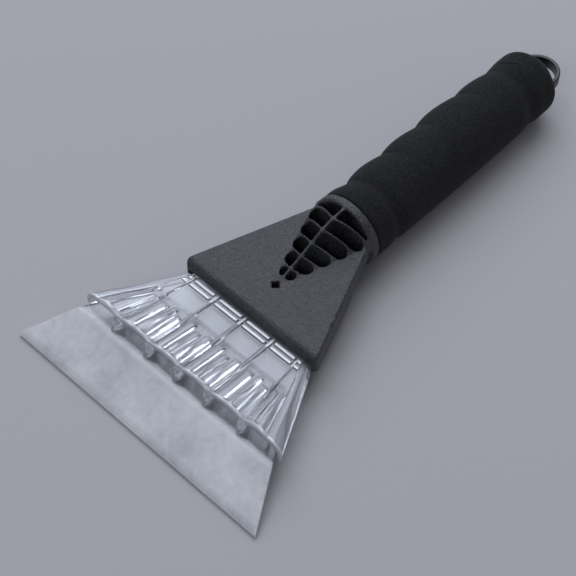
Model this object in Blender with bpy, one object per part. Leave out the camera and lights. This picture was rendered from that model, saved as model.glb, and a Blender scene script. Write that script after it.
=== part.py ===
"""Windshield ice scraper: a black moulded handle with a finned neck, a clear fluted ice
crusher over a clear flat blade, both screwed under the flared head, a foam grip on the
hollow stem and a plug with a hanging loop in the stem's open end.

It lies as it rests on a table, blade edge towards -Y and loop towards +Y, on the front edge
of the blade and the fattest rings of the grip.  Lengths below are in millimetres.
"""

import math

import bmesh
import bpy

MM = 0.001
GAP = 0.3  # clearance kept between pieces that touch on the real tool

# Overall
BLADE_WIDTH = 127.0
OVERALL_LENGTH = 245.0
AXIS_Z = 15.7  # height of the grip's axis above the table

# Blade: a bent sheet, its front flap sloping down to the table
BLADE_THICK = 2.4
BLADE_EDGE_THICK = 1.5
BLADE_BEVEL = 2.2
BLADE_SLOPE = 0.357
BEND_Y = 21.3
BEND_SPREAD = 2.8
BLADE_END_Y = 80.5
BLADE_TAIL_INSET = 8.2  # between the tail's corners and the socket's walls

# Handle head
HEAD_Y = 60.8
HEAD_HALF = 35.3
HEAD_TAPER = 0.40
HEAD_TOP_Z = 17.4
HEAD_TOP_SLOPE = 0.0707
HEAD_BASE_Z = 8.3
HEAD_CORNER = 3.2
LIP_ROUND = 3.0
EDGE_ROUND = 1.3
SOCKET_WALL = 2.4
SOCKET_END_Y = 82.0
COLLAR_Y = 113.9
COLLAR_LENGTH = 3.9
COLLAR_R = 15.7
HEAD_UNDER_R = 15.3

# Fins of the neck
FIN_Y = 107.3
FIN_PITCH = 5.9
FIN_COUNT = 6
FIN_THICK = 1.2
FIN_SWEEP = 0.40
SPINE_THICK = 1.3
HUMP_TIP_Y = 73.6
HUMP_TOP_Z = 30.9
HUMP_FLARE = 0.345
POCKET_FLOOR_Z = 9.0
SHALLOW_FLOOR_Z = 14.4
TIP_FLOOR_Z = 16.6

# Stem, grip and plug
STEM_R = 8.3
STEM_BORE_R = 6.3
BORE_FLOOR_Y = 122.0
GRIP_R = 15.7
GRIP_END_R = 11.0
# Finger grooves, as (share of the grip's length, radius), and the rings between them
NECKS = ((0.105, 13.9), (0.281, 14.0), (0.466, 14.0), (0.682, 13.8), (0.845, 13.1))
PEAKS = (15.7, 15.6, 15.7, 14.7)
NOSE_R = 14.8
NOSE_LENGTH = 7.6
# The grooves face the fingers and fade out round the palm's side
GROOVE_SIDE = 188.0  # degrees about the grip's axis, from +X
PALM_R = 15.65
PALM_GROOVES = (0.9, 1.3)  # depth that the first and last groove keep on the palm's side
PLUG_LENGTH = 22.0
FLANGE_R = 10.4
FLANGE_THICK = 1.2
LOOP_REACH = 13.4
LOOP_R = 9.6
LOOP_WALL = 1.8
LOOP_TOP_Z = 17.2
LOOP_THICK = 5.0

# Clear ice crusher
SHELL_THICK = 2.0
RIM_Y = 25.0
RIM_SIDE_GAP = 0.7
LIP_Y = 60.0
LIP_SIDE_GAP = 2.5
SHELL_RISE = 0.094
FLUTE_START_Y = 47.0
FLUTE_RISE = 2.2
RIM_SHOULDER = 7.0
LIP_SHOULDER = 4.0
SIDE_FOOT_Z = 8.6
RIB_THICK = 1.6
# Ribs of one half, as shares of the shell's flat half width
RIB_RIM_SHARE = (0.0, 0.347, 0.734)
RIB_LIP_SHARE = (0.0, 0.503, 0.945)
TOOTH_REACH = 3.6
TANG_END_Y = 81.6

# Screws
SCREW_Y = 70.0
SCREW_X = 15.0
SCREW_R = 1.35
SCREW_HEAD_R = 2.9
SCREW_HEAD_H = 1.8
SCREW_BITE = 3.0

# What follows from the sizes above
BLADE_LEVEL_Z = BLADE_SLOPE * BEND_Y
LIP_Z = BLADE_LEVEL_Z + BLADE_THICK + GAP + SHELL_THICK
SOCKET_TOP_Z = LIP_Z + GAP
SCREW_TIP_Z = SOCKET_TOP_Z + SCREW_BITE
GRIP_END_Y = OVERALL_LENGTH - LOOP_REACH
STEM_END_Y = GRIP_END_Y - GAP
GRIP_START_Y = COLLAR_Y + COLLAR_LENGTH + GAP


def smooth(t):
    t = max(0.0, min(1.0, t))
    return t * t * (3.0 - 2.0 * t)


def lerp(a, b, t):
    return a + (b - a) * t


def arc(cx, cz, rx, rz, start, stop, steps):
    """Points of an elliptical arc in degrees, ends included."""
    points = []
    for i in range(steps + 1):
        a = math.radians(lerp(start, stop, i / steps))
        points.append((cx + rx * math.cos(a), cz + rz * math.sin(a)))
    return points


def material(name, colour, roughness, metallic=0.0, alpha=1.0):
    made = bpy.data.materials.new(name)
    made.use_nodes = True
    shader = made.node_tree.nodes["Principled BSDF"]
    shader.inputs["Base Color"].default_value = (*colour, 1.0)
    shader.inputs["Roughness"].default_value = roughness
    shader.inputs["Metallic"].default_value = metallic
    shader.inputs["Alpha"].default_value = alpha
    return made


def add(name, bm, look=None):
    """The mesh as an object; without a look it is a helper that the part leaves out."""
    bmesh.ops.recalc_face_normals(bm, faces=bm.faces)
    mesh = bpy.data.meshes.new(name)
    bm.to_mesh(mesh)
    bm.free()
    mesh.shade_smooth()
    mesh.set_sharp_from_angle(angle=math.radians(35.0))
    made = bpy.data.objects.new(name, mesh)
    bpy.context.scene.collection.objects.link(made)
    made.parent = FRAME
    if look is None:
        made.hide_render = True
        made.display_type = "WIRE"
    else:
        mesh.materials.append(look)
    return made


def combine(target, other, operation):
    step = target.modifiers.new(f"{operation.title()} {other.name}", "BOOLEAN")
    step.operation = operation
    step.object = other
    step.solver = "EXACT"


def mm(x, y, z):
    return (x * MM, y * MM, z * MM)


def loft(sections, bm=None):
    """A closed body through rings of points, each extruded from the one before."""
    bm = bm or bmesh.new()
    ring = [bm.verts.new(mm(*p)) for p in sections[0]]
    edges = [bm.edges.new((a, b)) for a, b in zip(ring, ring[1:] + ring[:1])]
    bmesh.ops.edgeloop_fill(bm, edges=edges)
    for section in sections[1:]:
        made = bmesh.ops.extrude_edge_only(bm, edges=edges)["geom"]
        after = {}
        old = set(ring)
        for v in (g for g in made if isinstance(g, bmesh.types.BMVert)):
            for e in v.link_edges:
                if e.other_vert(v) in old:
                    after[e.other_vert(v)] = v
        ring = [after[v] for v in ring]
        for v, p in zip(ring, section):
            v.co = mm(*p)
        edges = [bm.edges.get((a, b)) for a, b in zip(ring, ring[1:] + ring[:1])]
    bmesh.ops.edgeloop_fill(bm, edges=edges)
    bmesh.ops.triangulate(bm, faces=[f for f in bm.faces if len(f.verts) > 3])
    return bm


def prism(outline, z0, z1, bm=None):
    """A flat outline in X and Y raised from z0 to z1."""
    return loft([[(x, y, z) for x, y in outline] for z in (z0, z1)], bm)


def turned(profile, steps=56, bm=None):
    """A closed profile of (radius, y) turned about the grip's axis."""
    bm = bm or bmesh.new()
    verts = [bm.verts.new(mm(r, y, AXIS_Z)) for r, y in profile]
    edges = [bm.edges.new((a, b)) for a, b in zip(verts, verts[1:] + verts[:1])]
    bmesh.ops.spin(
        bm,
        geom=verts + edges,
        cent=mm(0, 0, AXIS_Z),
        axis=(0, 1, 0),
        angle=math.tau,
        steps=steps,
        use_merge=True,
    )
    bmesh.ops.remove_doubles(bm, verts=bm.verts, dist=1e-6)
    return bm


def upright(r0, z0, z1, x, y, r1=None, sides=24, bm=None):
    """A vertical cylinder or cone."""
    r1 = r0 if r1 is None else r1
    rings = []
    for r, z in ((r0, z0), (r1, z1)):
        rings.append([(px, py, z) for px, py in arc(x, y, r, r, 0, 360, sides)[:-1]])
    return loft(rings, bm)


# ---- handle -------------------------------------------------------------------------------


def head_half(y):
    return HEAD_HALF - HEAD_TAPER * (y - HEAD_Y)


def head_top(y):
    return HEAD_TOP_Z + HEAD_TOP_SLOPE * (y - HEAD_Y)


def head_section(y, inset, drop):
    """The head across its width: flat top, and an underside that turns round at the collar."""
    round_off = smooth((y - 76.0) / (COLLAR_Y - 78.0))
    half = head_half(y) - inset
    top = head_top(y) - drop
    base = lerp(HEAD_BASE_Z, AXIS_Z - HEAD_UNDER_R, smooth((y - 74.0) / (COLLAR_Y - 76.0)))
    rx = lerp(1.0, half, round_off)
    rz = lerp(1.0, AXIS_Z - base, round_off)
    e = EDGE_ROUND
    points = arc(half - e, top - e, e, e, 90, 0, 4)
    points += arc(half - rx, base + rz, rx, rz, 0, -90, 10)
    points += arc(-half + rx, base + rz, rx, rz, -90, -180, 10)[int(round_off >= 1.0) :]
    points += arc(-half + e, top - e, e, e, 180, 90, 4)
    return [(x, y, z) for x, z in points]


def head_body():
    sections = []
    for i in range(7):
        a = math.radians(15.0 * i)
        dy = HEAD_CORNER * (1.0 - math.cos(a))
        drop = LIP_ROUND - math.sqrt(LIP_ROUND**2 - max(0.0, LIP_ROUND - dy) ** 2)
        sections.append(head_section(HEAD_Y + dy, HEAD_CORNER * (1.0 - math.sin(a)), drop))
    y = HEAD_Y + HEAD_CORNER
    rows = 14
    for i in range(1, rows + 1):
        sections.append(head_section(lerp(y, COLLAR_Y + 1.0, i / rows), 0.0, 0.0))
    return loft(sections)


def hump_height(y):
    rise = HUMP_TOP_Z - head_top(COLLAR_Y)
    return rise * smooth((y - HUMP_TIP_Y) / (109.5 - HUMP_TIP_Y))


def hump_body():
    """The neck's raised cone, which the pockets leave as fins and a spine."""
    sections = []
    rows, half_steps = 16, 9
    for i in range(rows + 1):
        y = lerp(HUMP_TIP_Y + 0.4, COLLAR_Y + 1.4, i / rows)
        half = 1.0 + HUMP_FLARE * (y - HUMP_TIP_Y)
        power = lerp(1.05, 2.0, smooth((y - 95.0) / 16.0))
        height = hump_height(y)
        crown = []
        for k in range(-half_steps, half_steps + 1):
            s = k / half_steps
            z = head_top(y) + height * (1.0 - abs(s) ** power) - 0.02
            crown.append((s * half, y, z))
        foot = [(half, y, head_top(y) - 4.0), (-half, y, head_top(y) - 4.0)]
        sections.append(crown + foot)
    return loft(sections)


def fin_y(k):
    return FIN_Y - FIN_PITCH * k


def pocket(side, front, back, reach, floor, bm):
    """One pocket between two swept fins, closed by a round end on the flat of the head."""
    r = (back - front) / 2.0
    near = SPINE_THICK / 2.0
    centre = max(reach - r, near + 0.3)
    plan = [(near, front), (centre, front)]
    plan += arc(centre, (front + back) / 2.0, reach - centre, r, -80, 80, 8)
    plan += [(centre, back), (near, back)]
    plan = [(side * x, y + FIN_SWEEP * x) for x, y in plan]
    prism(plan, floor, 45.0, bm)


def pockets_cutter():
    bm = bmesh.new()
    half = FIN_THICK / 2.0
    for k in range(FIN_COUNT):
        y = fin_y(k)
        reach = 13.3 - 2.22 * k
        front = y - FIN_PITCH + half
        if k == FIN_COUNT - 1:
            break
        floor = POCKET_FLOOR_Z if k < 4 else SHALLOW_FLOOR_Z
        for side in (-1, 1):
            pocket(side, front, y - half, reach, floor, bm)
    # The pocket next to the collar stays straight along the collar's face.
    y = fin_y(0) + half
    for side in (-1, 1):
        near = SPINE_THICK / 2.0
        plan = [(near, y + FIN_SWEEP * near), (12.2, y + FIN_SWEEP * 12.2)]
        plan += [(13.3, COLLAR_Y - 1.2), (12.6, COLLAR_Y - 0.1), (near, COLLAR_Y - 0.1)]
        prism([(side * x, py) for x, py in plan], POCKET_FLOOR_Z, 45.0, bm)
    # The arrow-shaped pocket at the tip.
    last = fin_y(FIN_COUNT - 1) - half
    plan = [(0.0, HUMP_TIP_Y - 0.3), (2.3, last - 0.1), (1.3, last), (0.0, last - 0.7)]
    plan += [(-1.3, last), (-2.3, last - 0.1)]
    prism(plan, TIP_FLOOR_Z, 45.0, bm)
    return bm


def socket_half(y):
    return head_half(y) - SOCKET_WALL


def tongue(inset, start, end, corner):
    """Plan of the socket, or of the tongue that fits it, with round rear corners."""
    wide, narrow = socket_half(start) - inset, socket_half(end) - inset
    right = [(wide, start)]
    right += arc(narrow - corner, end - corner, corner, corner, 0, 90, 5)
    return right + [(-x, y) for x, y in reversed(right)]


def handle():
    look = material("black handle plastic", (0.018, 0.018, 0.020), 0.45)
    body = add("handle_body", head_body(), look)
    combine(body, add("hump_guide", hump_body()), "UNION")
    rear = COLLAR_Y + COLLAR_LENGTH
    stem = turned(
        [
            (0.0, COLLAR_Y),
            (COLLAR_R - 0.8, COLLAR_Y),
            (COLLAR_R, COLLAR_Y + 0.8),
            (COLLAR_R, rear - 0.5),
            (COLLAR_R - 0.5, rear),
            (STEM_R, rear),
            (STEM_R, STEM_END_Y - 0.6),
            (STEM_R - 0.6, STEM_END_Y),
            (STEM_BORE_R, STEM_END_Y),
            (STEM_BORE_R, BORE_FLOOR_Y),
            (0.0, BORE_FLOOR_Y),
        ]
    )
    combine(body, add("stem_guide", stem), "UNION")
    combine(body, add("pockets_cutter", pockets_cutter()), "DIFFERENCE")
    socket = prism(tongue(0.0, HEAD_Y - 6.0, SOCKET_END_Y, 3.0), -5.0, SOCKET_TOP_Z)
    combine(body, add("socket_cutter", socket), "DIFFERENCE")
    holes = bmesh.new()
    for x in (-SCREW_X, 0.0, SCREW_X):
        upright(SCREW_R + GAP, SOCKET_TOP_Z - 2.0, SCREW_TIP_Z + 0.5, x, SCREW_Y, bm=holes)
    combine(body, add("pilot_cutter", holes), "DIFFERENCE")


# ---- blade --------------------------------------------------------------------------------


def blade_half(y):
    """Half width of the sheet, from its front corners to the tail that the socket takes."""
    tail = socket_half(BLADE_END_Y) - BLADE_TAIL_INSET
    return lerp(BLADE_WIDTH / 2.0, tail, y / BLADE_END_Y)


def blade_base(y):
    """Underside of the bent sheet: sloping, then a soft bend, then level."""
    first, last = BEND_Y - BEND_SPREAD, BEND_Y + BEND_SPREAD
    if y <= first:
        return BLADE_SLOPE * y
    if y >= last:
        return BLADE_LEVEL_Z
    return BLADE_SLOPE * (y - (y - first) ** 2 / (4.0 * BEND_SPREAD))


def screw_holes(bottom, top):
    bm = bmesh.new()
    for x in (-SCREW_X, 0.0, SCREW_X):
        upright(SCREW_R + GAP + 0.1, bottom, top, x, SCREW_Y, bm=bm)
    return bm


def blade():
    look = material("hazy clear blade", (0.62, 0.66, 0.66), 0.25, alpha=0.45)
    stations = [0.0, BLADE_BEVEL, 10.0, BEND_Y - BEND_SPREAD]
    stations += [BEND_Y + BEND_SPREAD * k / 2.0 for k in (-1, 0, 1)]
    stations += [BEND_Y + BEND_SPREAD, 45.0, BLADE_END_Y]
    sections = []
    for y in stations:
        half = blade_half(y)
        base = blade_base(y)
        thick = lerp(BLADE_EDGE_THICK, BLADE_THICK, min(1.0, y / BLADE_BEVEL))
        corners = [(half, base), (half, base + thick), (-half, base + thick), (-half, base)]
        sections.append([(x, y, z) for x, z in corners])
    body = add("scraper_blade", loft(sections), look)
    top = BLADE_LEVEL_Z + BLADE_THICK
    cutter = add("blade_hole_cutter", screw_holes(BLADE_LEVEL_Z - 2.0, top + 2.0))
    combine(body, cutter, "DIFFERENCE")


# ---- ice crusher --------------------------------------------------------------------------


def shell_half(y):
    """Half width of the shell, which stands just outside the blade's edges."""
    rim = blade_half(RIM_Y) + SHELL_THICK + RIM_SIDE_GAP
    lip = blade_half(LIP_Y) + SHELL_THICK + LIP_SIDE_GAP
    return lerp(lip, rim, (LIP_Y - y) / (LIP_Y - RIM_Y))


def shell_flat(y):
    """Half width of the shell inside its round shoulders."""
    return shell_half(y) - lerp(LIP_SHOULDER, RIM_SHOULDER, (LIP_Y - y) / (LIP_Y - RIM_Y))


def rib_x(k, y):
    lip = RIB_LIP_SHARE[k] * shell_flat(LIP_Y)
    rim = RIB_RIM_SHARE[k] * shell_flat(RIM_Y)
    return lerp(lip, rim, (LIP_Y - y) / (LIP_Y - RIM_Y))


def shell_base(y):
    return LIP_Z + SHELL_RISE * (LIP_Y - y)


def shell_crown(x, y, half):
    """Height of the flutes over the ribs' level at one point."""
    lines = [rib_x(0, y), rib_x(1, y), rib_x(2, y), half]
    x = abs(x)
    for low, high in zip(lines, lines[1:]):
        if x <= high:
            t = (x - low) / (high - low)
            rise = FLUTE_RISE * smooth((FLUTE_START_Y - y) / (FLUTE_START_Y - RIM_Y))
            return rise * math.sin(math.pi * max(0.0, t)) ** 0.8
    return 0.0


def shell_line(y, inner):
    """One surface of the fluted shell across its width, from -X to +X."""
    half = shell_half(y)
    straight = shell_flat(y)
    width = half - straight
    xs = []
    lines = [-straight, -rib_x(2, y), -rib_x(1, y), 0.0]
    lines += [rib_x(1, y), rib_x(2, y), straight]
    counts = (5, 8, 8, 8, 8, 5)
    for low, high, n in zip(lines, lines[1:], counts):
        xs += [lerp(low, high, k / n) for k in range(n)]
    xs.append(straight)
    thick = SHELL_THICK if inner else 0.0
    points = []
    edge = shell_base(y) + shell_crown(straight, y, half)
    shoulder = []
    drop = edge - thick - SIDE_FOOT_Z
    for k in range(1, 8):
        a = math.radians(90.0 * k / 7)
        z = SIDE_FOOT_Z + drop * max(0.0, math.cos(a)) ** 0.8
        shoulder.append((straight + (width - thick) * math.sin(a), z))
    points += [(-x, z) for x, z in reversed(shoulder)]
    points += [(x, shell_base(y) + shell_crown(x, y, half) - thick) for x in xs]
    points += shoulder
    return points


def rib_outline():
    """Side view of a rib with its tooth, as (y, z)."""
    foot = BLADE_LEVEL_Z + BLADE_THICK + GAP
    top = shell_base(RIM_Y) - 0.7
    tip = RIM_Y - TOOTH_REACH
    outline = [(57.0, foot), (57.0, shell_base(57.0) - 0.9), (RIM_Y + 0.6, top)]
    for k in range(5):
        t = k / 4.0
        bulge = 0.9 * math.sin(math.pi * t)
        outline.append((lerp(RIM_Y - 0.4, tip, t) - bulge * 0.3, lerp(top, foot + 0.25, t) + bulge))
    outline.append((tip, foot))
    return outline


def crusher():
    look = material("clear crusher plastic", (0.80, 0.84, 0.90), 0.05, alpha=0.30)
    stations = [RIM_Y, 26.5, 29.0, 32.0, 35.0, 38.0, 41.0, 44.0, FLUTE_START_Y, 53.0, LIP_Y]
    sections = []
    for y in stations:
        outline = shell_line(y, False) + list(reversed(shell_line(y, True)))
        sections.append([(x, y, z) for x, z in outline])
    body = add("ice_crusher_head", loft(sections), look)
    tang_base = LIP_Z - SHELL_THICK
    plan = tongue(GAP + 0.1, LIP_Y - 2.4, TANG_END_Y, 2.6)
    tang = prism(plan, tang_base + 0.06, LIP_Z - 0.06)
    tang_guide = add("tang_guide", tang)
    combine(body, tang_guide, "UNION")
    ribs = bmesh.new()
    profile = rib_outline()
    for k in (-2, -1, 0, 1, 2):
        side = -1.0 if k < 0 else 1.0
        rings = []
        for shift in (-RIB_THICK / 2.0, RIB_THICK / 2.0):
            rings.append([(side * rib_x(abs(k), y) + shift, y, z) for y, z in profile])
        loft(rings, ribs)
    combine(body, add("ribs_guide", ribs), "UNION")
    holes = add("crusher_hole_cutter", screw_holes(tang_base - 2.0, LIP_Z + 2.0))
    combine(body, holes, "DIFFERENCE")


# ---- grip, plug and screws ----------------------------------------------------------------


def along_grip(share):
    return lerp(GRIP_START_Y, GRIP_END_Y, share)


def grip_outline():
    """Radius of the foam along its length, as (radius, y)."""
    start = GRIP_START_Y
    outer = [(GRIP_R - 0.6, start), (GRIP_R - 0.1, start + 0.8)]
    necks = [(along_grip(share), r) for share, r in NECKS]
    first_y, first_r = necks[0]
    for k in range(6):
        y = lerp(start + 3.6, first_y, k / 6)
        outer.append((lerp(GRIP_R - 0.1, first_r, smooth(k / 6)), y))
    for (y0, r0), (y1, r1), peak in zip(necks, necks[1:], PEAKS):
        for k in range(9):
            t = k / 9
            base = lerp(r0, r1, t)
            swell = math.sin(math.pi * t**0.76) ** 0.8
            outer.append((base + (peak - (r0 + r1) / 2.0) * swell, lerp(y0, y1, t)))
    last_y, last_r = necks[-1]
    nose = GRIP_END_Y - NOSE_LENGTH
    for k in range(5):
        t = k / 5
        swell = math.sin(math.pi * t / 2.0)
        outer.append((lerp(last_r, NOSE_R, swell), lerp(last_y, nose - 1.5, t)))
    for k in range(10):
        t = math.sin(math.pi / 2.0 * k / 9)
        outer.append((lerp(GRIP_END_R, NOSE_R, 1.0 - t**4.6), lerp(nose, GRIP_END_Y, t)))
    return outer


def palm_r(y):
    """Radius of the foam on the side away from the fingers."""
    taper = smooth((y - along_grip(0.475)) / 46.0)
    plain = lerp(PALM_R, NOSE_R + 0.2, taper)
    for (share, _), depth, width in zip((NECKS[0], NECKS[-1]), PALM_GROOVES, (2.6, 3.2)):
        plain -= depth * math.exp(-(((y - along_grip(share)) / width) ** 2))
    return plain


def grip():
    """Foam sleeve with finger grooves on one side and a rounded nose."""
    look = material("black foam", (0.012, 0.012, 0.013), 0.95)
    outer = grip_outline()
    inner = STEM_R + GAP
    profile = outer + [(inner, GRIP_END_Y), (inner, outer[0][1])]
    body = turned(profile, steps=44)
    start, nose = GRIP_START_Y + 2.0, GRIP_END_Y - NOSE_LENGTH
    for v in body.verts:
        x, y, z = v.co.x / MM, v.co.y / MM, v.co.z / MM - AXIS_Z
        radius = math.hypot(x, z)
        if radius > inner + 1.0 and start < y < nose:
            turn = math.cos(math.atan2(z, x) - math.radians(GROOVE_SIDE))
            fingers = smooth(turn + 0.45)
            ends = smooth((y - start) / 4.0) * smooth((nose - y) / 4.0)
            share = lerp(radius, lerp(palm_r(y), radius, fingers), ends) / radius
            v.co = mm(x * share, y, AXIS_Z + z * share)
    add("foam_grip", body, look)


def plug():
    look = material("grey plug plastic", (0.055, 0.056, 0.060), 0.35)
    face = GRIP_END_Y + GAP
    outer = face + FLANGE_THICK
    body = turned(
        [
            (0.0, face - PLUG_LENGTH),
            (STEM_BORE_R - GAP - 0.8, face - PLUG_LENGTH),
            (STEM_BORE_R - GAP, face - PLUG_LENGTH + 0.8),
            (STEM_BORE_R - GAP, face),
            (FLANGE_R - 0.3, face),
            (FLANGE_R, face + 0.3),
            (FLANGE_R, outer - 0.3),
            (FLANGE_R - 0.3, outer),
            (0.0, outer),
        ],
        steps=48,
    )
    body = add("end_plug_loop", body, look)
    centre = OVERALL_LENGTH - LOOP_R
    foot = face + 0.2
    hole_r = LOOP_R - LOOP_WALL
    plan = [(LOOP_R, foot)] + arc(0, centre, LOOP_R, LOOP_R, 0, 180, 28) + [(-LOOP_R, foot)]
    plan += [(-hole_r, foot)] + arc(0, centre, hole_r, hole_r, 180, 0, 28) + [(hole_r, foot)]
    loop = prism(plan, LOOP_TOP_Z - LOOP_THICK, LOOP_TOP_Z)
    combine(body, add("loop_guide", loop), "UNION")


def screws():
    look = material("zinc screw", (0.55, 0.55, 0.56), 0.35, metallic=1.0)
    top = BLADE_LEVEL_Z - GAP
    for name, x in (("left", -SCREW_X), ("middle", 0.0), ("right", SCREW_X)):
        rings = []
        for r, z in (
            (SCREW_HEAD_R - 0.7, top - SCREW_HEAD_H),
            (SCREW_HEAD_R, top - SCREW_HEAD_H + 0.7),
            (SCREW_HEAD_R, top),
            (SCREW_R, top),
            (SCREW_R, SCREW_TIP_Z - 1.2),
            (SCREW_R * 0.35, SCREW_TIP_Z),
        ):
            rings.append([(px, py, z) for px, py in arc(x, SCREW_Y, r, r, 0, 360, 20)[:-1]])
        body = add(f"screw_{name}", loft(rings), look)
        long, wide = 1.5, 0.42
        plan = [(wide, -long), (wide, -wide), (long, -wide), (long, wide), (wide, wide), (wide, long)]
        plan += [(-px, -py) for px, py in plan]
        plan = [(x + px, SCREW_Y + py) for px, py in plan]
        low = top - SCREW_HEAD_H
        recess = add(f"recess_cutter_{name}", prism(plan, low - 1.0, low + 1.0))
        combine(body, recess, "DIFFERENCE")


for leftover in list(bpy.data.objects):
    bpy.data.objects.remove(leftover)
FRAME = bpy.data.objects.new("frame", None)
bpy.context.scene.collection.objects.link(FRAME)
FRAME.location = (0.0, -OVERALL_LENGTH / 2.0 * MM, 0.0)
handle()
blade()
crusher()
grip()
plug()
screws()
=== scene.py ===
"""Windshield ice scraper: the shown pieces, their materials, and the stage they lie on.

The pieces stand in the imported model's frame.  Lengths in the code are millimetres, with y
measured from the blade's front edge; place() turns them into the frame's metres.
"""

import math

import bmesh
import bpy
from mathutils import Matrix, Vector


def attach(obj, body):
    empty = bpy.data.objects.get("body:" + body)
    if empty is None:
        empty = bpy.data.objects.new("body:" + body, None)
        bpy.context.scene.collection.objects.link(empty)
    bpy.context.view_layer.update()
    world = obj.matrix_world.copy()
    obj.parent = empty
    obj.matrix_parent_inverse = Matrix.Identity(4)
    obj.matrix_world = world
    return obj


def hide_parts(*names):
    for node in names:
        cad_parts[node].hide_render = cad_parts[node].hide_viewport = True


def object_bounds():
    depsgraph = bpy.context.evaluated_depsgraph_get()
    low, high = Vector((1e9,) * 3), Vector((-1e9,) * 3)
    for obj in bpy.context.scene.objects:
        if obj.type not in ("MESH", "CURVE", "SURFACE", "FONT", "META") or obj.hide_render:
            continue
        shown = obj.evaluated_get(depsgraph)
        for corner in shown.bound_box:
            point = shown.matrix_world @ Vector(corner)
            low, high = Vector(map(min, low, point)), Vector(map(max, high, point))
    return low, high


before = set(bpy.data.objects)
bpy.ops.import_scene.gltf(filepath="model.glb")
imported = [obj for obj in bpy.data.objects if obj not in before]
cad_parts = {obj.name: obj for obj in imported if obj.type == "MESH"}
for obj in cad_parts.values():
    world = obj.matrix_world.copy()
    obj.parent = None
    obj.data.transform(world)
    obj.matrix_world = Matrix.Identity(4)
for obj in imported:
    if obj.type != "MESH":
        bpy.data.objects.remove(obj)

bl_info = {
    "name": "Ice scraper",
    "version": (1, 0, 0),
    "blender": (4, 5, 0),
    "location": "3D View > Sidebar > Ice Scraper",
    "description": "Builds the shown pieces of a windshield ice scraper in its packed frame",
    "category": "Object",
}

CAD_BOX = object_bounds()
FRONT_Y = CAD_BOX[0].y
MM = 0.001

# Heights and places that several pieces share
AXIS_Z = 15.7
GAP = 0.3
BLADE_END = 80.5
BLADE_LEVEL = 7.604
BLADE_THICK = 2.4
BLADE_TOP = BLADE_LEVEL + BLADE_THICK
LIP_Z = 12.304
SCREW_Y = 70.0
SCREW_XS = (-15.0, 0.0, 15.0)
GRIP_START = 118.1
GRIP_END = 231.6
STEM_R = 8.3
PILOT_R = 1.65
CLEARANCE_R = 1.75


def lerp(a, b, t):
    return a + (b - a) * t


def smooth(t):
    t = max(0.0, min(1.0, t))
    return t * t * (3.0 - 2.0 * t)


def place(x, y, z):
    """Millimetres from the blade's edge, as a point of the frame."""
    return Vector((x * MM, FRONT_Y + y * MM, z * MM))


def arc(cx, cy, rx, ry, start, stop, steps):
    """Points of an elliptical arc in degrees, ends included."""
    points = []
    for i in range(steps + 1):
        a = math.radians(lerp(start, stop, i / steps))
        points.append((cx + rx * math.cos(a), cy + ry * math.sin(a)))
    return points


# ---- shaping ----------------------------------------------------------------------------

WELD = 2e-6


def block(across, along):
    """A cube from -1 to 1 cut into strips both ways."""
    bm = bmesh.new()
    bmesh.ops.create_cube(bm, size=2.0)
    for axis, parts in ((0, across), (1, along)):
        edges = [e for e in bm.edges if abs((e.verts[0].co - e.verts[1].co)[axis]) > 1.9]
        bmesh.ops.subdivide_edges(bm, edges=edges, cuts=parts - 1, use_grid_fill=True)
    return bm


def sheet(across, along, shape, width=0.0):
    """A block whose vertices go where shape(u, v, w) puts them, with its rim rounded by width."""
    bm = block(across, along)
    bm.normal_update()
    rim = sharp_edges(bm, 45.0)
    for v in bm.verts:
        v.co = place(*shape(*v.co))
    return soften(bm, width, 3, rim) if width else bm


def loft(rings, bm=None):
    """A closed body drawn through rings of points, each extruded from the one before."""
    bm = bm or bmesh.new()
    ring = [bm.verts.new(place(*p)) for p in rings[0]]
    edges = [bm.edges.new(pair) for pair in zip(ring, ring[1:] + ring[:1])]
    bmesh.ops.edgeloop_fill(bm, edges=edges)
    for section in rings[1:]:
        made = bmesh.ops.extrude_edge_only(bm, edges=edges)["geom"]
        old, after = set(ring), {}
        for v in (g for g in made if isinstance(g, bmesh.types.BMVert)):
            for e in v.link_edges:
                if e.other_vert(v) in old:
                    after[e.other_vert(v)] = v
        ring = [after[v] for v in ring]
        for v, p in zip(ring, section):
            v.co = place(*p)
        edges = [bm.edges.get(pair) for pair in zip(ring, ring[1:] + ring[:1])]
    bmesh.ops.edgeloop_fill(bm, edges=edges)
    return bm


def slab(outline, low, high, bm=None):
    """A flat outline raised from low to high."""
    return loft([[(x, y, z) for x, y in outline] for z in (low, high)], bm)


def turned(profile, steps, centre=(0.0, 0.0, AXIS_Z), axis=(0, 1, 0)):
    """A closed profile of (radius, distance along the axis), turned about that axis."""
    bm = bmesh.new()
    cx, cy, cz = centre
    along_y = axis[1] == 1
    verts = []
    for r, s in profile:
        spot = place(cx + r, cy + s, cz) if along_y else place(cx + r, cy, cz + s)
        verts.append(bm.verts.new(spot))
    edges = [bm.edges.new(pair) for pair in zip(verts, verts[1:] + verts[:1])]
    bmesh.ops.spin(
        bm, geom=verts + edges, cent=place(cx, cy, cz), axis=axis,
        angle=math.tau, steps=steps, use_merge=True,
    )
    bmesh.ops.remove_doubles(bm, verts=bm.verts, dist=WELD)
    return bm


def sharp_edges(bm, angle):
    limit = math.radians(angle)
    return [e for e in bm.edges if e.calc_face_angle(0.0) > limit]


def soften(bm, width, segments, edges):
    """Rounds the given edges."""
    bmesh.ops.bevel(
        bm, geom=edges, offset=width * MM, offset_type="OFFSET", segments=segments,
        profile=0.5, affect="EDGES", material=-1, clamp_overlap=True,
    )
    return bm


def mesh_of(name, bm, turn_out=True):
    """An object made of the shape; a moulded sheet's faces already point out."""
    if turn_out:
        bmesh.ops.recalc_face_normals(bm, faces=bm.faces)
    mesh = bpy.data.meshes.new(name)
    bm.to_mesh(mesh)
    bm.free()
    made = bpy.data.objects.new(name, mesh)
    bpy.context.scene.collection.objects.link(made)
    return made


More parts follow.
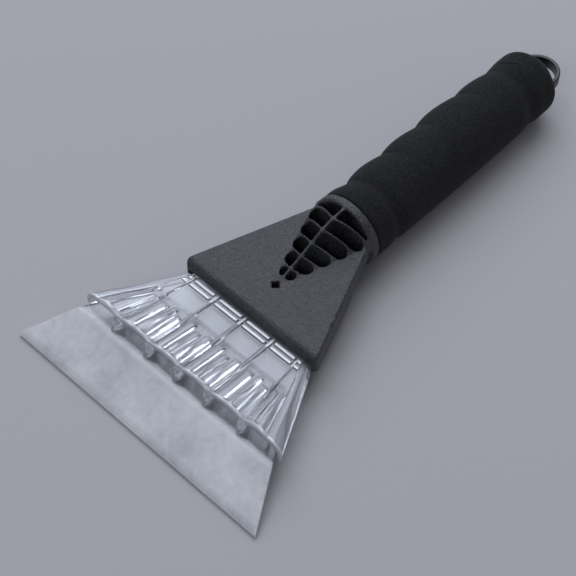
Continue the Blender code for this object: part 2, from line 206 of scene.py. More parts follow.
def settle(made):
    """Applies the piece's modifiers to its mesh."""
    bpy.context.view_layer.update()
    graph = bpy.context.evaluated_depsgraph_get()
    mesh = bpy.data.meshes.new_from_object(made.evaluated_get(graph), depsgraph=graph)
    old, name = made.data, made.name
    made.modifiers.clear()
    made.data = mesh
    bpy.data.meshes.remove(old)
    mesh.name = name


def combine(made, bm, operation):
    """Joins a shape to the piece, or cuts it away."""
    tool = mesh_of("tool", bm)
    step = made.modifiers.new(operation.title(), "BOOLEAN")
    step.operation, step.object, step.solver = operation, tool, "EXACT"
    settle(made)
    bpy.data.objects.remove(tool)


def screw_holes(radius, low, high):
    """Three round holes for the screws."""
    bm = bmesh.new()
    for x in SCREW_XS:
        slab(arc(x, SCREW_Y, radius, radius, 0, 345, 23), low, high, bm)
    return bm


def finish(made, look, node, sharp=35.0):
    """Shades the piece, gives it its look, hangs it on the root and hides the node it stands for."""
    made.data.materials.clear()
    made.data.materials.append(look)
    made.data.shade_smooth()
    made.data.set_sharp_from_angle(angle=math.radians(sharp))
    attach(made, "root")
    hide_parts(node)


# ---- materials --------------------------------------------------------------------------

CLEAR_IOR = 1.585


class Signal:
    """A value in a material, with Python's arithmetic."""

    def __init__(self, look, socket):
        self.look, self.socket = look, socket

    def _maths(self, operation, a, b):
        return self.look.node("ShaderNodeMath", {"operation": operation}, {0: a, 1: b})

    def __add__(self, other):
        return self._maths("ADD", self, other)

    def __radd__(self, other):
        return self._maths("ADD", other, self)

    def __sub__(self, other):
        return self._maths("SUBTRACT", self, other)

    def __rsub__(self, other):
        return self._maths("SUBTRACT", other, self)

    def __mul__(self, other):
        return self._maths("MULTIPLY", self, other)

    def __rmul__(self, other):
        return self._maths("MULTIPLY", other, self)

    def __truediv__(self, other):
        return self._maths("DIVIDE", self, other)

    def __rtruediv__(self, other):
        return self._maths("DIVIDE", other, self)


class Look:
    """A material and its Principled shader."""

    def __init__(self, name, **sockets):
        self.material = bpy.data.materials.new(name)
        self.material.use_nodes = True
        self.tree = self.material.node_tree
        self.shader = self.tree.nodes["Principled BSDF"]
        for socket, value in sockets.items():
            self.set(socket.replace("_", " "), value)

    def feed(self, socket, value):
        if isinstance(value, Signal):
            self.tree.links.new(value.socket, socket)
        elif hasattr(value, "__len__") and len(value) == 3 and socket.type == "RGBA":
            socket.default_value = (*value, 1.0)
        else:
            socket.default_value = value

    def set(self, socket, value):
        self.feed(self.shader.inputs[socket], value)

    def node(self, kind, settings=None, sockets=None, output=0):
        """Any node: its settings first, then the values or links of its sockets."""
        made = self.tree.nodes.new(kind)
        for key, value in (settings or {}).items():
            if key == "stops":
                ramp = made.color_ramp.elements
                while len(ramp) < len(value):
                    ramp.new(0.5)
                for element, (spot, shade) in zip(ramp, value):
                    element.position, element.color = spot, (shade, shade, shade, 1.0)
            else:
                setattr(made, key, value)
        for key, value in (sockets or {}).items():
            self.feed(made.inputs[key], value)
        return Signal(self, made.outputs[output])

    def position(self):
        return self.node("ShaderNodeTexCoord", output="Object")

    def part(self, axis):
        """One coordinate of the position."""
        return self.node("ShaderNodeSeparateXYZ", None, {"Vector": self.position()}, output=axis)

    def noise(self, scale, detail, roughness=0.5, stretch=None):
        """Noise from 0 to 1 at so many features to the metre."""
        at = self.position()
        if stretch:
            at = self.node("ShaderNodeMapping", None, {"Vector": at, "Scale": stretch})
        return self.node(
            "ShaderNodeTexNoise", None,
            {"Vector": at, "Scale": scale, "Detail": detail, "Roughness": roughness},
        )

    def ramp(self, value, *stops):
        return self.node("ShaderNodeValToRGB", {"stops": stops}, {"Fac": value})

    def tint(self, share, first, second):
        return self.node(
            "ShaderNodeMix", {"data_type": "RGBA"}, {0: share, 6: first, 7: second}, output=2,
        )

    def second(self, sockets):
        """Another Principled shader of the same material."""
        return self.node("ShaderNodeBsdfPrincipled", None, sockets).socket

    def mix(self, share, other):
        """Gives way to another shader by a share from 0 to 1."""
        mixed = self.node("ShaderNodeMixShader", None, {0: share}).socket
        self.tree.links.new(self.shader.outputs[0], mixed.node.inputs[1])
        self.tree.links.new(other, mixed.node.inputs[2])
        self.tree.links.new(mixed, self.tree.nodes["Material Output"].inputs["Surface"])

    def bump(self, height, depth, strength):
        sockets = {"Height": height, "Distance": depth, "Strength": strength}
        self.set("Normal", self.node("ShaderNodeBump", None, sockets))


def scaled(colour, factor):
    return [c * factor for c in colour]


def black_plastic(s):
    look = Look("black_handle_plastic", IOR=1.5, Specular_IOR_Level=0.76)
    grain = look.noise(1 / (s.grain * MM), 3.0, 0.55)
    pits = look.noise(0.45 / (s.grain * MM), 2.0, 0.5)
    relief = grain * 0.7 + pits * 0.3
    worn = look.noise(45.0, 3.0)
    share = look.ramp(relief * 0.7 + worn * 0.3, (0.42, 0.0), (0.60, 1.0))
    shades = scaled(s.plastic_colour, 0.3), scaled(s.plastic_colour, 2.1)
    look.set("Base Color", look.tint(share, *shades))
    look.set("Roughness", look.ramp(worn * 0.5 + grain * 0.5, (0.38, 0.30), (0.62, 0.58)))
    look.bump(relief, 0.00075, 0.95)
    return look.material


def grey_plastic():
    look = Look("grey_loop_plastic", IOR=1.5)
    drag = look.noise(900.0, 2.0)
    look.set("Base Color", look.tint(drag, (0.011, 0.011, 0.013), (0.020, 0.0205, 0.024)))
    look.set("Roughness", look.ramp(look.noise(120.0, 3.0), (0.3, 0.26), (0.7, 0.38)))
    look.bump(drag, 0.00004, 0.3)
    return look.material


def foam(s):
    look = Look("black_foam", IOR=1.45, Specular_IOR_Level=0.25)
    cells = look.node(
        "ShaderNodeTexVoronoi", {"feature": "SMOOTH_F1"},
        {"Vector": look.position(), "Scale": 1 / (s.cell * MM), "Smoothness": 0.6, "Randomness": 1.0},
    )
    fuzz = look.noise(1.9 / (s.cell * MM), 3.0, 0.6)
    cloud = look.noise(60.0, 4.0, 0.55)
    share = look.ramp(cells * 0.35 + fuzz * 0.35 + cloud * 0.3, (0.36, 0.0), (0.62, 1.0))
    shades = scaled(s.foam_colour, 0.5), scaled(s.foam_colour, 1.9)
    look.set("Base Color", look.tint(share, *shades))
    look.set("Roughness", look.ramp(cloud, (0.3, 0.86), (0.7, 1.0)))
    look.set("Sheen Weight", 0.05)
    look.set("Sheen Roughness", 0.5)
    look.bump(cells * 0.5 + fuzz * 0.5, 0.00030, 0.8)
    return look.material


def clear_plastic():
    """Polished, with its rim and the raised bars at its lip mixed towards a glossy milky white that is a
    painted highlight.
    """
    look = Look("clear_crusher_plastic", Transmission_Weight=0.88, Roughness=0.025, IOR=CLEAR_IOR)
    ripple = look.noise(90.0, 2.0)
    look.set("Base Color", look.tint(ripple, (0.90, 0.93, 0.98), (0.96, 0.975, 1.0)))
    y = (look.part("Y") - FRONT_Y) / MM
    height = look.part("Z") / MM - LIP_Z - (LIP_Y - y) * SHELL_SLOPE
    raised = look.ramp((height - 0.40) * 5.0, (0.0, 0.0), (0.8, 0.85))
    bars = raised * look.ramp(y - 55.0, (0.0, 0.0), (0.5, 1.0))
    rim = look.ramp((y - 24.0) / 3.0, (0.1, 0.0), (0.35, 0.45), (0.6, 0.45), (1.0, 0.0))
    # Painted highlight: the raised bars and the rim get a mostly diffuse milky white shader that stands in
    # for their bright highlight lines.
    painted_highlight_frost = look.second({
        "Base Color": (0.95, 0.97, 1.0), "Roughness": 0.12, "IOR": CLEAR_IOR,
        "Transmission Weight": 0.2, "Coat Weight": 1.0, "Coat IOR": 2.1, "Coat Roughness": 0.12,
    })
    look.mix(bars + rim, painted_highlight_frost)
    return look.material


def blade_plastic(s):
    """Clear where the crusher covers it, scuffed milky on the flap that scrapes."""
    look = Look("hazy_blade_plastic", Transmission_Weight=1.0 - s.haze, IOR=CLEAR_IOR)
    smear = look.noise(34.0, 5.0, 0.62, stretch=(1.0, 0.8, 1.0))
    rub = look.noise(320.0, 4.0, 0.65)
    film = look.ramp(smear * 0.72 + rub * 0.28, (0.40, 0.0), (0.60, 1.0))
    look.set("Base Color", look.tint(film, (0.70, 0.72, 0.76), (0.96, 0.965, 0.99)))
    look.set("Roughness", look.ramp(smear * 0.6 + rub * 0.4, (0.35, 0.12), (0.72, 0.30)))
    look.bump(rub, 0.0003, 0.06)
    clear = look.second({
        "Base Color": (0.93, 0.945, 0.965), "Roughness": 0.08, "IOR": CLEAR_IOR,
        "Transmission Weight": 1.0,
    })
    y = (look.part("Y") - FRONT_Y) / MM
    under = look.ramp((y - 20.8) / 2.2, (0.0, 0.0), (1.0, 1.0))
    look.mix(under, clear)
    return look.material


def bright_zinc():
    look = Look("bright_zinc", Metallic=1.0)
    cloud = look.noise(1500.0, 3.0)
    look.set("Base Color", look.tint(cloud, (0.46, 0.47, 0.48), (0.66, 0.66, 0.67)))
    look.set("Roughness", look.ramp(cloud, (0.3, 0.22), (0.7, 0.42)))
    look.bump(cloud, 0.00003, 0.4)
    return look.material


def pale_floor(s):
    return Look("pale_floor", Base_Color=tuple(s.floor_colour), Roughness=0.85).material


# ---- handle -----------------------------------------------------------------------------

HEAD_Y = 60.8
HEAD_HALF = 35.3
COLLAR_Y = 113.9
CROWN_Z = 30.9
FIN_PITCH = 5.9
FIN_THICK = 0.84
FIN_SWEEP = 0.40
LAST_FIN_Y = 107.3
SPINE = 0.62
TIP_Y = 73.6
POCKETS = 5
POCKET_TOP = 45.0
POCKET_FLOOR = 9.0
TIP_FLOOR = 14.4
TIP_POCKET_CUT = 1.3
BORE_R = 6.3
STEM_START = 121.0
STEM_END = 231.3


def head_half(y):
    return HEAD_HALF - 0.40 * (y - HEAD_Y)


def head_top(y):
    return 17.4 + 0.0707 * (y - HEAD_Y)


def head_section(y, inset, drop):
    """The head across its width: flat top, and an underside that turns round at the collar."""
    round_off = smooth((y - 76.0) / 35.9)
    half, top = head_half(y) - inset, head_top(y) - drop
    base = lerp(8.3, 0.4, smooth((y - 74.0) / 37.9))
    rx, rz, e = lerp(1.0, half, round_off), lerp(1.0, AXIS_Z - base, round_off), 1.3
    points = arc(half - e, top - e, e, e, 90, 0, 6)
    points += arc(half - rx, base + rz, rx, rz, 0, -90, 14)
    points += arc(-half + rx, base + rz, rx, rz, -90, -180, 14)[int(round_off >= 1.0):]
    points += arc(-half + e, top - e, e, e, 180, 90, 6)
    return [(x, y, z) for x, z in points]


def head_body(corner=3.2, lip=3.0):
    rings = []
    for i in range(10):
        a = math.radians(10.0 * i)
        dy = corner * (1.0 - math.cos(a))
        drop = lip - math.sqrt(lip**2 - max(0.0, lip - dy) ** 2)
        rings.append(head_section(HEAD_Y + dy, corner * (1.0 - math.sin(a)), drop))
    for i in range(1, 25):
        rings.append(head_section(lerp(HEAD_Y + corner, COLLAR_Y + 1.0, i / 24), 0.0, 0.0))
    return loft(rings)


def hump_body():
    """The neck's raised cone, which the pockets leave as fins and a spine."""
    rings = []
    for i in range(33):
        y = lerp(TIP_Y + 0.4, COLLAR_Y + 1.4, i / 32)
        half = 1.0 + 0.345 * (y - TIP_Y)
        power = lerp(1.05, 2.0, smooth((y - 95.0) / 16.0))
        height = (CROWN_Z - head_top(COLLAR_Y)) * smooth((y - TIP_Y) / (109.5 - TIP_Y))
        crown = []
        for k in range(-14, 15):
            s = k / 14
            crown.append((s * half, y, head_top(y) + height * (1.0 - abs(s) ** power) - 0.02))
        rings.append(crown + [(half, y, head_top(y) - 4.0), (-half, y, head_top(y) - 4.0)])
    return loft(rings)


def pockets():
    """The swept pockets between the fins, with round ends on the flat of the head."""
    bm = bmesh.new()
    half = FIN_THICK / 2.0
    for k in range(POCKETS):
        at_tip = k == POCKETS - 1
        y = LAST_FIN_Y - FIN_PITCH * k
        front = y - FIN_PITCH + half + (TIP_POCKET_CUT if at_tip else 0.0)
        back = y - half
        reach, r = 13.3 - 2.0 * k - 0.1 * k * k, (back - front) / 2.0
        centre = max(reach - r, SPINE + 0.3)
        for side in (-1, 1):
            plan = [(SPINE, front), (centre, front)]
            plan += arc(centre, (front + back) / 2.0, reach - centre, r, -80, 80, 12)
            plan += [(centre, back), (SPINE, back)]
            swept = [(side * x, py + FIN_SWEEP * x) for x, py in plan]
            slab(swept, TIP_FLOOR if at_tip else POCKET_FLOOR, POCKET_TOP, bm)
    y, wide = LAST_FIN_Y + half, 12.2
    for side in (-1, 1):
        plan = [(SPINE, y + FIN_SWEEP * SPINE), (wide, y + FIN_SWEEP * wide)]
        plan += [(13.3, COLLAR_Y - 1.2), (12.6, COLLAR_Y - 0.1), (SPINE, COLLAR_Y - 0.1)]
        slab([(side * x, py) for x, py in plan], POCKET_FLOOR, POCKET_TOP, bm)
    start = TIP_Y - 0.4
    star = [(x, start + y) for x, y in ((0.6, 1.5), (2.5, 2.7), (1.0, 3.3), (0.7, 4.3))]
    slab([(0.0, start)] + star + [(-x, y) for x, y in reversed(star)], TIP_FLOOR, POCKET_TOP, bm)
    return bm


def collar_ring():
    rear = COLLAR_Y + 3.9
    profile = [(0.0, COLLAR_Y), (14.9, COLLAR_Y), (15.5, COLLAR_Y + 0.25), (15.7, COLLAR_Y + 0.9)]
    profile += [(15.7, rear - 0.6), (15.45, rear)]
    profile += [(STEM_R, rear), (STEM_R, rear + 3.0), (0.0, rear + 3.0)]
    return turned(profile, 96)


def socket_plan():
    """Outline of the hollow under the head that takes the crusher's tongue."""
    wide = head_half(HEAD_Y - 6.0) - 2.4
    right = [(wide, HEAD_Y - 6.0)] + arc(head_half(82.0) - 5.4, 79.0, 3.0, 3.0, 0, 90, 6)
    return right + [(-x, y) for x, y in reversed(right)]


def build_handle(s, look):
    head = mesh_of("handle_head", head_body())
    combine(head, hump_body(), "UNION")
    combine(head, collar_ring(), "UNION")
    combine(head, pockets(), "DIFFERENCE")
    combine(head, slab(socket_plan(), -5.0, LIP_Z + GAP), "DIFFERENCE")
    combine(head, screw_holes(PILOT_R, LIP_Z - 2.0, 16.1), "DIFFERENCE")
    remesh = head.modifiers.new("Even skin", "REMESH")
    remesh.mode, remesh.voxel_size = "VOXEL", s.head_voxel
    ease = head.modifiers.new("Ease edges", "SMOOTH")
    ease.factor, ease.iterations = 0.5, 3
    settle(head)
    finish(head, look, "handle_body", 80.0)
    profile = [(STEM_R, STEM_START), (STEM_R, 230.7), (7.9, STEM_END), (BORE_R, STEM_END)]
    stem = turned(profile + [(BORE_R, STEM_START)], 64)
    finish(mesh_of("handle_stem", stem), look, "handle_body")


# ---- blade ------------------------------------------------------------------------------

BLADE_HALF = 63.5
TAIL_HALF = 16.82
EDGE_THICK = 1.5
EDGE_DEPTH = 2.2


def blade_half(y):
    return lerp(BLADE_HALF, TAIL_HALF, y / BLADE_END)


def blade_base(y, slope=0.357, bend=21.3, spread=2.8):
    """Underside of the bent sheet: sloping, then a soft bend, then level."""
    if y <= bend - spread:
        return slope * y
    if y >= bend + spread:
        return slope * bend
    return slope * (y - (y - bend + spread) ** 2 / (4.0 * spread))


def build_blade(look):
    def spot(u, v, w):
        t = (v + 1.0) / 2.0
        y = BLADE_END * (t * 0.55 + 0.45 * t * t)
        thick = lerp(EDGE_THICK, BLADE_THICK, min(1.0, y / EDGE_DEPTH))
        return u * blade_half(y), y, blade_base(y) + (w + 1.0) / 2.0 * thick

    blade = mesh_of("blade_sheet", sheet(72, 72, spot, 0.28), turn_out=False)
    combine(blade, screw_holes(CLEARANCE_R, BLADE_LEVEL - 2.0, BLADE_TOP + 2.0), "DIFFERENCE")
    finish(blade, look, "scraper_blade")


# ---- ice crusher ------------------------------------------------------------------------

RIM_Y = 25.0
LIP_Y = 60.0
SHELL_END = 60.5
SHELL_THICK = 2.0
SHELL_SLOPE = 0.094
SHELL_BEND = 0.84
RIM_ROUND = 0.8
CORNER_POWER = 0.62
FOOT_Z = 8.6
FLARE_Y = 47.0
FLARE_RUN = 20.0
INSIDE_SHARE = 0.4

# Shares of the half width at which the ribs stand
LIP_RIBS = (0.0, 0.503, 0.945)
RIM_RIBS = (0.0, 0.347, 0.734, 1.0)

# Raised bars at the lip: place along y, half width and rise
BARS = ((58.9, 0.95, 1.0), (56.3, 0.9, 0.8))

# Ridges of each bay: place across it, half width, where they end, and rise
RIDGES = (
    ((0.20, 0.105, 44.9, 1.5), (0.50, 0.085, 42.6, 1.2), (0.80, 0.095, 44.2, 1.6)),
    ((0.24, 0.12, 43.8, 1.5), (0.55, 0.075, 45.0, 1.3), (0.81, 0.09, 42.8, 1.5)),
    ((0.27, 0.13, 44.4, 1.3), (0.72, 0.16, 45.4, 1.4)),
)


def down_shell(y):
    """0 at the lip and 1 at the rim."""
    return (LIP_Y - y) / (LIP_Y - RIM_Y)


def shell_flat(y):
    return lerp(blade_half(LIP_Y) + 0.5, blade_half(RIM_Y) - 4.3, down_shell(y))


def shell_half(y):
    return lerp(blade_half(LIP_Y) + 4.5, blade_half(RIM_Y) + 2.7, down_shell(y))


def rib_x(k, y):
    return lerp(LIP_RIBS[k] * shell_flat(LIP_Y), RIM_RIBS[k] * shell_flat(RIM_Y), down_shell(y))


def shell_level(y):
    return LIP_Z + SHELL_SLOPE * (LIP_Y - y)


def flare(y):
    return smooth((FLARE_Y - y) / FLARE_RUN)


def flute(t, y, ridges):
    """Height over the ribs' level between two ribs, t across and y along."""
    near = min(t, 1.0 - t)
    rim = smooth((y - 25.9) / 1.8)
    valley = -1.25 * smooth((47.2 - y) / 2.6) * smooth(near / 0.12) * rim
    height = valley + 2.1 * flare(y) * math.sin(math.pi * t) ** 0.8
    for middle, half, back, rise in ridges:
        side = smooth((half - abs(t - middle)) / 0.042 + 0.5)
        loaf = 0.92 + 0.08 * math.cos(math.pi * (t - middle) / half)
        height += rise * side * loaf * smooth((back - y) / 1.8) * rim
    bars = sum(rise * smooth((half - abs(y - middle)) / 0.4) for middle, half, rise in BARS)
    rib = 0.5 * smooth((0.062 - near) / 0.02)
    return height + rib + 0.7 * bars * smooth(near / 0.05 - 1.5)


def shell_point(u, v, w):
    """A point of the shell: u across it, v from its rim to its lip, w from inside to outside."""
    t = (v + 1.0) / 2.0
    y = lerp(RIM_Y, SHELL_END, t - 0.6 * math.sin(math.tau * t) / math.tau)
    flat, half = shell_flat(y), shell_half(y)
    near = max(0.0, RIM_ROUND - min(y - RIM_Y, SHELL_END - y))
    ease = w * (RIM_ROUND - math.sqrt(RIM_ROUND**2 - near**2))
    thick = SHELL_THICK * (1.0 - w) / 2.0
    side = 1.0 if u > 0 else -1.0
    share = INSIDE_SHARE if w < 0 else 1.0
    rise = 1.5 * flare(y)
    if abs(u) <= SHELL_BEND:
        across = abs(u) / SHELL_BEND
        bay = sum(across > column for column in RIM_RIBS[1:3])
        t = (across - RIM_RIBS[bay]) / (RIM_RIBS[bay + 1] - RIM_RIBS[bay])
        edges = (rib_x(0, y), rib_x(1, y), rib_x(2, y), flat)
        lift = flute(1.0 - t if u < 0 and bay < 2 else t, y, RIDGES[bay])
        lift += rise * smooth(t) if bay == 2 else 0.0
        x = lerp(edges[bay], edges[bay + 1], t)
        return side * x, y, shell_level(y) + share * lift - thick - ease
    a = (abs(u) - SHELL_BEND) / (1.0 - SHELL_BEND) * math.pi / 2.0
    top = shell_level(y) + share * rise - thick
    x = flat + (half - flat - thick) * math.sin(a) ** CORNER_POWER - ease * math.sin(a)
    return side * x, y, FOOT_Z + (top - ease - FOOT_Z) * max(0.0, math.cos(a)) ** CORNER_POWER


def rib_bodies():
    """Five ribs under the shell, each with a gusset that stands on the blade, and the tongue."""
    bm = bmesh.new()
    foot = BLADE_TOP + GAP
    stations = (57.2, 50.0, 42.0, 34.0, 28.5, 26.4, 25.4, 24.6, 23.8, 23.0, 22.2, 21.4)
    for k in (-2, -1, 0, 1, 2):
        side = -1.0 if k < 0 else 1.0
        rings = []
        for y in stations:
            x = side * rib_x(abs(k), y)
            wide = 0.8 + 1.5 * smooth((27.4 - y) / 2.4) - 1.6 * smooth((24.6 - y) / 3.4)
            top = shell_level(max(y, RIM_Y)) - 0.75
            if y < RIM_Y:
                t = (RIM_Y - y) / 3.6
                top = lerp(top, foot + 0.3, t**1.2) + 0.48 * math.sin(math.pi * min(1.0, t))
            low = wide * 0.55 if y < 27.0 else wide
            base = [(x - low, y, foot), (x + low, y, foot)]
            rings.append(base + [(x + wide, y, top), (x - wide, y, top)])
        loft(rings, bm)
    soften(bm, 0.25, 2, sharp_edges(bm, 50.0))
    wide, narrow = head_half(58.4) - 2.8, head_half(81.6) - 2.8
    right = [(min(wide, shell_flat(58.4)), 58.0)] + arc(narrow - 2.6, 79.0, 2.6, 2.6, 0, 90, 6)
    slab(right + [(-x, y) for x, y in reversed(right)], LIP_Z - 1.94, LIP_Z - 0.06, bm)
    return bm


def build_crusher(look):
    shell = mesh_of("crusher_shell", sheet(288, 128, shell_point), turn_out=False)
    combine(shell, rib_bodies(), "UNION")
    combine(shell, screw_holes(CLEARANCE_R, LIP_Z - 4.0, LIP_Z + 2.0), "DIFFERENCE")
    if shell.dimensions.x < shell_half(RIM_Y) * 1.9 * MM:
        raise RuntimeError("The crusher's shell was lost in a union")
    finish(shell, look, "ice_crusher_head", 38.0)


# ---- grip, loop and screws --------------------------------------------------------------

# The finger grooves as (y, radius), and the ridges between them
NECKS = ((130.0, 13.9), (150.0, 14.0), (171.0, 14.0), (195.5, 13.8), (214.0, 13.1))
PEAKS = (15.7, 15.6, 15.7, 14.7)
FULL_R = 15.65
GROOVE_SIDE = math.radians(188.0)
NOSE_R = 14.8
NOSE_Y = 224.0


def grip_outline():
    """Outside of the foam, as (radius, y)."""
    outer = [(15.0, GRIP_START), (15.35, GRIP_START + 0.15), (15.55, GRIP_START + 0.6)]
    for k in range(14):
        outer.append((lerp(15.6, NECKS[0][1], smooth(k / 14)), lerp(GRIP_START + 2.2, NECKS[0][0], k / 14)))
    for (y0, r0), (y1, r1), peak in zip(NECKS, NECKS[1:], PEAKS):
        for k in range(26):
            t = k / 26
            swell = math.sin(math.pi * t**0.76) ** 0.8
            outer.append((lerp(r0, r1, t) + (peak - (r0 + r1) / 2.0) * swell, lerp(y0, y1, t)))
    last_y, last_r = NECKS[-1]
    for k in range(12):
        t = k / 12
        outer.append((lerp(last_r, NOSE_R, math.sin(math.pi * t / 2.0)), lerp(last_y, NOSE_Y - 1.0, t)))
    for k in range(20):
        t = math.sin(math.pi / 2.0 * k / 19)
        outer.append((lerp(11.0, NOSE_R, 1.0 - t**4.6), lerp(NOSE_Y, GRIP_END, t)))
    return outer


def palm_r(y):
    """Radius on the side away from the fingers, where only the end grooves go all round."""
    first, last = NECKS[0], NECKS[-1]
    plain = lerp(FULL_R, NOSE_R + 0.2, smooth((y - 172.0) / 46.0))
    plain -= 0.9 * math.exp(-(((y - first[0]) / 2.6) ** 2))
    return plain - 1.1 * math.exp(-(((y - last[0]) / 3.8) ** 2))


def build_grip(look):
    bore = STEM_R + GAP
    profile = grip_outline() + [(10.0, GRIP_END), (bore, GRIP_END), (bore, GRIP_START)]
    bm = turned(profile, 160)
    for v in bm.verts:
        x, y, z = v.co.x / MM, (v.co.y - FRONT_Y) / MM, v.co.z / MM - AXIS_Z
        radius, side = math.hypot(x, z), math.atan2(z, x)
        if radius > 10.5 and y > GRIP_START + 2.0:
            fingers = smooth(math.cos(side - GROOVE_SIDE) + 0.45)
            ends = smooth((y - GRIP_START - 2.0) / 4.0) * smooth((NOSE_Y - y) / 4.0)
            wanted = lerp(radius, lerp(palm_r(y), radius, fingers), ends)
            wanted -= 0.5 * fingers * smooth((y - NECKS[-1][0]) / 6.0)
            v.co = place(x * wanted / radius, y, AXIS_Z + z * wanted / radius)
    grip = mesh_of("foam_sleeve", bm)
    slit = [(-9.6, 218.5), (-4.3, 219.7), (-0.2, 221.3)]
    slit += [(-0.1, 221.55), (-4.3, 220.1), (-9.7, 218.8)]
    combine(grip, slab(slit, 26.2, 34.0), "DIFFERENCE")
    finish(grip, look, "foam_grip", 50.0)


def build_loop(look):
    face = GRIP_END + GAP
    inner, outer = face - 22.0, face + 1.2
    profile = [(0.0, inner), (5.2, inner), (6.0, inner + 0.8), (6.0, face)]
    profile += [(9.9, face), (10.3, face + 0.2), (10.4, face + 0.5)]
    profile += [(10.35, face + 0.8), (10.0, outer), (0.0, outer)]
    plug = mesh_of("hang_loop", turned(profile, 96))
    foot, centre = face + 0.2, 235.4
    wide, hole = 9.6, 7.8
    plan = [(wide, foot)] + arc(0, centre, wide, wide, 0, 180, 48) + [(-wide, foot)]
    plan += [(-hole, foot)] + arc(0, centre, hole, hole, 180, 0, 48) + [(hole, foot)]
    loop = slab(plan, 12.2, 17.2)
    combine(plug, soften(loop, 0.55, 4, sharp_edges(loop, 60.0)), "UNION")
    finish(plug, look, "end_plug_loop", 40.0)


def build_screws(look):
    top = BLADE_LEVEL - GAP
    for name, x in zip(("screw_left", "screw_middle", "screw_right"), SCREW_XS):
        profile = [(0.0, -1.8), (1.1, -1.78), (2.0, -1.55), (2.6, -1.15), (2.88, -0.6)]
        profile += [(2.9, -0.15), (2.8, 0.0), (1.35, 0.0), (1.35, 6.8), (0.5, 8.0), (0.0, 8.0)]
        screw = mesh_of(name + "_zinc", turned(profile, 40, (x, SCREW_Y, top), (0, 0, 1)))
        long, wide = 1.5, 0.36
        plan = [(wide, -long), (wide, -wide), (long, -wide), (long, wide), (wide, wide), (wide, long)]
        plan += [(-px, -py) for px, py in plan]
        recess = slab([(x + px, SCREW_Y + py) for px, py in plan], top - 3.0, top - 0.8)
        combine(screw, recess, "DIFFERENCE")
        finish(screw, look, name, 30.0)


# ---- stage ------------------------------------------------------------------------------

FLOOR_HALF = 3.0
KEY_AWAY = 2.2
FILL_FROM = (0.25, -1.5, 1.5)
FILL_SIZE = (1.1, 0.8)
TARGET = (-5.062, 87.969, 0.0)
CAMERA_AWAY = 0.637173
SENSOR = 36.0
LENS = 101.2664


def aim(made, spot, target):
    made.location = spot
    made.rotation_mode = "QUATERNION"
    made.rotation_quaternion = (Vector(spot) - Vector(target)).to_track_quat("Z", "Y")


def softbox(name, spot, target, size, radiance, colour):
    light = bpy.data.lights.new(name, "AREA")
    light.shape, light.size, light.size_y = "RECTANGLE", size[0], size[1]
    light.energy = radiance * math.pi * size[0] * size[1]
    light.color = colour
    made = bpy.data.objects.new(name, light)
    bpy.context.scene.collection.objects.link(made)
    aim(made, spot, target)


def build_stage(s):
    bm = bmesh.new()
    bmesh.ops.create_grid(bm, x_segments=2, y_segments=2, size=FLOOR_HALF)
    floor = mesh_of("floor", bm)
    floor.data.materials.append(pale_floor(s))
    world = bpy.data.worlds.new("studio")
    bpy.context.scene.world = world
    world.use_nodes = True
    background = world.node_tree.nodes["Background"].inputs
    background["Color"].default_value = (0.86, 0.91, 1.0, 1.0)
    background["Strength"].default_value = s.room_light
    back = Vector((
        math.sin(s.azimuth) * math.cos(s.elevation),
        -math.cos(s.azimuth) * math.cos(s.elevation),
        math.sin(s.elevation),
    ))
    target = place(*TARGET)
    key_spot = target + Vector((-back.x, -back.y, back.z)) * KEY_AWAY
    key_size = (s.key_size, s.key_size)
    softbox("key_softbox", key_spot, target, key_size, s.key_radiance, (0.85, 0.885, 1.0))
    fill_spot = target + Vector(FILL_FROM)
    softbox("front_fill", fill_spot, target, FILL_SIZE, s.fill_radiance, (0.92, 0.94, 1.0))
    camera = bpy.data.cameras.new("camera")
    camera.sensor_width, camera.lens = SENSOR, LENS
    camera.clip_start, camera.clip_end = 0.01, 20.0
    made = bpy.data.objects.new("camera", camera)
    bpy.context.scene.collection.objects.link(made)
    made.rotation_mode = "QUATERNION"
    made.location = target + back * CAMERA_AWAY
    right = Vector((math.cos(s.azimuth), math.sin(s.azimuth), 0.0))
    turn = Matrix((right, back.cross(right), back)).transposed()
    made.rotation_quaternion = turn.to_quaternion()
    bpy.context.scene.camera = made
    bpy.context.scene.view_settings.view_transform = "Standard"


# ---- add-on -----------------------------------------------------------------------------


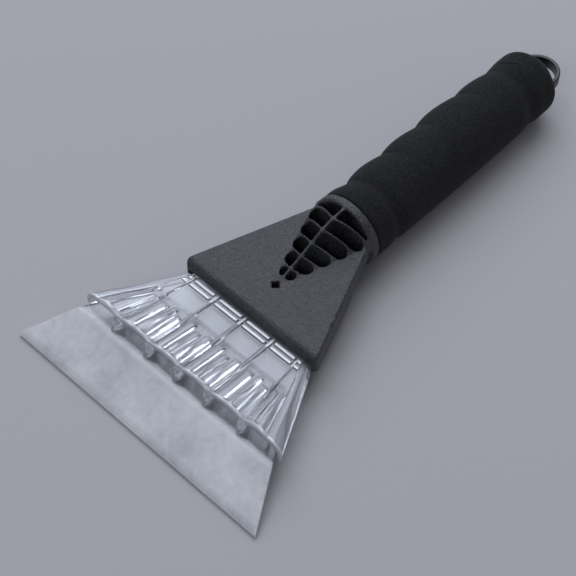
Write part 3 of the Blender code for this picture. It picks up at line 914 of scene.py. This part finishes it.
class ScraperSettings(bpy.types.PropertyGroup):
    """Finishes and light of the ice scraper."""

    grain: bpy.props.FloatProperty(
        name="Plastic grain", description="Size of the handle's moulded grain, in millimetres",
        default=0.75, min=0.05,
    )
    plastic_colour: bpy.props.FloatVectorProperty(
        name="Plastic colour", description="Colour of the black handle",
        subtype="COLOR", default=(0.027, 0.0275, 0.032),
    )
    cell: bpy.props.FloatProperty(
        name="Foam cell", description="Size of the foam's cells, in millimetres",
        default=0.8, min=0.05,
    )
    foam_colour: bpy.props.FloatVectorProperty(
        name="Foam colour", description="Colour of the grip",
        subtype="COLOR", default=(0.012, 0.012, 0.0125),
    )
    haze: bpy.props.FloatProperty(
        name="Blade haze", description="Share of light that the blade scatters",
        default=0.76, min=0.0, max=1.0, subtype="FACTOR",
    )
    head_voxel: bpy.props.FloatProperty(
        name="Head detail", description="Spacing of the head's surface",
        default=0.00041, unit="LENGTH", precision=5,
    )
    floor_colour: bpy.props.FloatVectorProperty(
        name="Floor colour", description="Colour of the floor",
        subtype="COLOR", default=(0.485, 0.472, 0.485),
    )
    room_light: bpy.props.FloatProperty(
        name="Room light", description="Strength of the light from all round",
        default=0.22, min=0.0,
    )
    key_radiance: bpy.props.FloatProperty(
        name="Softbox brightness", description="Radiance of the large softbox",
        default=2.5, min=0.0,
    )
    key_size: bpy.props.FloatProperty(
        name="Softbox size", description="Side of the large softbox",
        default=2.25, unit="LENGTH",
    )
    fill_radiance: bpy.props.FloatProperty(
        name="Fill brightness", description="Radiance of the fill from the front right",
        default=2.0, min=0.0,
    )
    azimuth: bpy.props.FloatProperty(
        name="Camera azimuth", description="Turn of the camera about the upright",
        default=math.radians(43.80577), subtype="ANGLE",
    )
    elevation: bpy.props.FloatProperty(
        name="Camera elevation", description="Height of the camera over the horizon",
        default=math.radians(52.74569), subtype="ANGLE",
    )


def settings(context):
    return context.scene.ice_scraper


class SCRAPER_OT_stage(bpy.types.Operator):
    """Floor, light and camera"""

    bl_idname = "scraper.stage"
    bl_label = "Stage"

    def execute(self, context):
        build_stage(settings(context))
        return {"FINISHED"}


class SCRAPER_OT_handle(bpy.types.Operator):
    """Head with its finned neck and collar, and the stem inside the grip"""

    bl_idname = "scraper.handle"
    bl_label = "Handle"

    def execute(self, context):
        s = settings(context)
        build_handle(s, black_plastic(s))
        return {"FINISHED"}


class SCRAPER_OT_blade(bpy.types.Operator):
    """Bent clear blade"""

    bl_idname = "scraper.blade"
    bl_label = "Blade"

    def execute(self, context):
        build_blade(blade_plastic(settings(context)))
        return {"FINISHED"}


class SCRAPER_OT_crusher(bpy.types.Operator):
    """Clear fluted ice crusher"""

    bl_idname = "scraper.crusher"
    bl_label = "Ice crusher"

    def execute(self, context):
        build_crusher(clear_plastic())
        return {"FINISHED"}


class SCRAPER_OT_grip(bpy.types.Operator):
    """Foam sleeve with finger grooves"""

    bl_idname = "scraper.grip"
    bl_label = "Foam grip"

    def execute(self, context):
        build_grip(foam(settings(context)))
        return {"FINISHED"}


class SCRAPER_OT_loop(bpy.types.Operator):
    """End plug with its hanging loop"""

    bl_idname = "scraper.loop"
    bl_label = "Hanging loop"

    def execute(self, context):
        build_loop(grey_plastic())
        return {"FINISHED"}


class SCRAPER_OT_screws(bpy.types.Operator):
    """Three screws under the head"""

    bl_idname = "scraper.screws"
    bl_label = "Screws"

    def execute(self, context):
        build_screws(bright_zinc())
        return {"FINISHED"}


OPERATORS = (
    SCRAPER_OT_stage, SCRAPER_OT_handle, SCRAPER_OT_blade, SCRAPER_OT_crusher,
    SCRAPER_OT_grip, SCRAPER_OT_loop, SCRAPER_OT_screws,
)


class SCRAPER_PT_panel(bpy.types.Panel):
    """Lists the scraper's settings and pieces"""

    bl_idname = "SCRAPER_PT_panel"
    bl_label = "Ice Scraper"
    bl_space_type = "VIEW_3D"
    bl_region_type = "UI"
    bl_category = "Ice Scraper"

    def draw(self, context):
        for name in ScraperSettings.__annotations__:
            self.layout.prop(settings(context), name)
        for operator in OPERATORS:
            self.layout.operator(operator.bl_idname)


def register():
    for made in (ScraperSettings, *OPERATORS, SCRAPER_PT_panel):
        bpy.utils.register_class(made)
    bpy.types.Scene.ice_scraper = bpy.props.PointerProperty(type=ScraperSettings)


def unregister():
    del bpy.types.Scene.ice_scraper
    for made in reversed((ScraperSettings, *OPERATORS, SCRAPER_PT_panel)):
        bpy.utils.unregister_class(made)


def main():
    register()
    bpy.ops.scraper.stage()
    bpy.ops.scraper.handle()
    bpy.ops.scraper.blade()
    bpy.ops.scraper.crusher()
    bpy.ops.scraper.grip()
    bpy.ops.scraper.loop()
    bpy.ops.scraper.screws()


if __name__ == "__main__":
    main()
